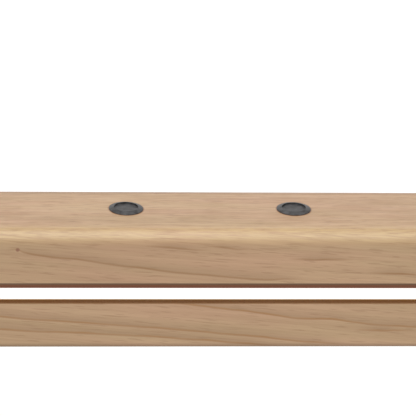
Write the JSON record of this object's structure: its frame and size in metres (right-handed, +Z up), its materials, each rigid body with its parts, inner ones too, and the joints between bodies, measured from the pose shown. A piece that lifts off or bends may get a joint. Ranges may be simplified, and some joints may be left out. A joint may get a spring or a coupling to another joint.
{
  "type": "knitting loom",
  "caption": "Table-top double-rail knitting loom: peg rails on a turning head between side frames, with a slotted wooden front beam.",
  "frame": {"origin": "centre of the footprint, on the surface that the loom stands on", "axes": "+X along the peg rails, to the right; +Y from the front beam to the back; +Z up"},
  "size_m": [0.5684, 0.26, 0.263],
  "materials": {
    "lacquered_wood": "satin lacquer",
    "beech": "bare",
    "grey_plastic": "satin moulded",
    "zinc_steel": "zinc plated",
    "brass": "turned",
    "natural_nylon": "matt",
    "rubber": "matt"
  },
  "bodies": {
    "stand": {"left_foot": "lacquered_wood", "right_foot": "lacquered_wood", "left_upright": "lacquered_wood", "right_upright": "lacquered_wood", "left_front_post": "lacquered_wood", "right_front_post": "lacquered_wood", "left_arm": "lacquered_wood", "right_arm": "lacquered_wood", "front_beam": "lacquered_wood", "slot_slat": "lacquered_wood", "rear_stretcher": "lacquered_wood", "foot_pads": "rubber", "beam_caps": "grey_plastic", "side_caps": "grey_plastic", "clamp_bolts": "zinc_steel", "clamp_plate": "zinc_steel", "beam_end_bolts": "zinc_steel", "barrel_nuts": "zinc_steel", "stretcher_screws": "zinc_steel", "foot_screws": "zinc_steel", "dowel_pins": "beech", "left_bush": "natural_nylon", "right_bush": "natural_nylon", "left_washer": "zinc_steel", "right_washer": "zinc_steel", "plunger_sleeve": "zinc_steel", "plunger_spring": "zinc_steel"},
    "head": {"left_end_disc": "lacquered_wood", "right_end_disc": "lacquered_wood", "front_peg_rail": "lacquered_wood", "rear_peg_rail": "lacquered_wood", "front_pegs": "grey_plastic", "rear_pegs": "grey_plastic", "rail_screws": "zinc_steel", "left_pivot_bolt": "zinc_steel", "right_pivot_bolt": "zinc_steel"},
    "left_knob": {"left_lock_knob": "grey_plastic", "left_knob_insert": "brass"},
    "right_knob": {"right_lock_knob": "grey_plastic", "right_knob_insert": "brass"},
    "plunger": {"plunger_pin": "zinc_steel", "plunger_grip": "grey_plastic"}
  },
  "joints": [
    {"name": "head_turn", "type": "hinge", "parent": "stand", "child": "head", "pos_m": [0, 0.02, 0.215], "axis": [1, 0, 0], "continuous": true},
    {"name": "left_knob_turn", "type": "hinge", "parent": "head", "child": "left_knob", "pos_m": [-0.27, 0.02, 0.215], "axis": [-1, 0, 0], "range_deg": [0, 360]},
    {"name": "right_knob_turn", "type": "hinge", "parent": "head", "child": "right_knob", "pos_m": [0.27, 0.02, 0.215], "axis": [1, 0, 0], "range_deg": [0, 360]},
    {"name": "plunger_push", "type": "slide", "parent": "stand", "child": "plunger", "axis": [-1, 0, 0], "range_m": [0, 0.0065], "deforming": ["plunger_spring"]}
  ]
}
